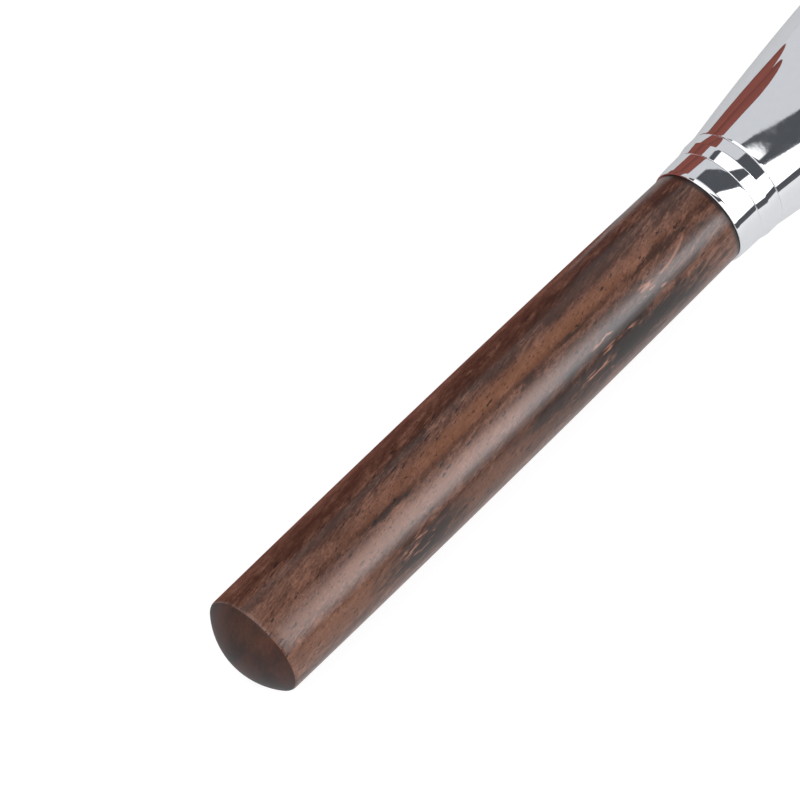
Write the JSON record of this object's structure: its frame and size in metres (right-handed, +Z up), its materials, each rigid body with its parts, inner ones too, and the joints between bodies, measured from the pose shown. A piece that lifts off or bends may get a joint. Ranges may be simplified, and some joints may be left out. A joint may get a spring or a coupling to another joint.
{
  "type": "dip pen holder",
  "caption": "Turned rosewood handle with a domed butt, banded chrome collar and swelling chrome grip that ends in a sprung tube holding a pointed steel nib.",
  "frame": {"origin": "under the middle of the pen as it lies on a table, on the table's surface", "axes": "+X along the pen towards the nib's point, +Z up from the table and through the nib's crown; the pen rests on its butt edge and its girdle, so its own axis rises about 2.0 degrees towards the nib"},
  "size_m": [0.1526, 0.0162, 0.0162],
  "materials": {
    "rosewood": "turned and oiled dark rosewood, satin, with black streaks and open pores",
    "chrome": "mirror-polished bright plate",
    "brass": "plain turned brass",
    "steel": "plain zinc-plated steel",
    "spring_steel": "bright folded spring sheet",
    "nib_steel": "pressed and tempered pen steel with a soft sheen"
  },
  "bodies": {
    "holder": {"handle": "rosewood", "handle_bush": "brass", "tie_stud": "steel", "rear_collar": "chrome", "step_ring": "chrome", "flare": "chrome", "washer": "steel", "clamp_nut": "steel", "girdle": "chrome", "grip": "chrome", "ferrule": "chrome", "leaf_spring": "spring_steel"},
    "nib": {"nib": "nib_steel"}
  },
  "joints": [
    {"name": "nib_slide", "type": "slide", "parent": "holder", "child": "nib", "axis": [0.9994, 0, 0.035], "range_m": [0, 0.014]}
  ]
}
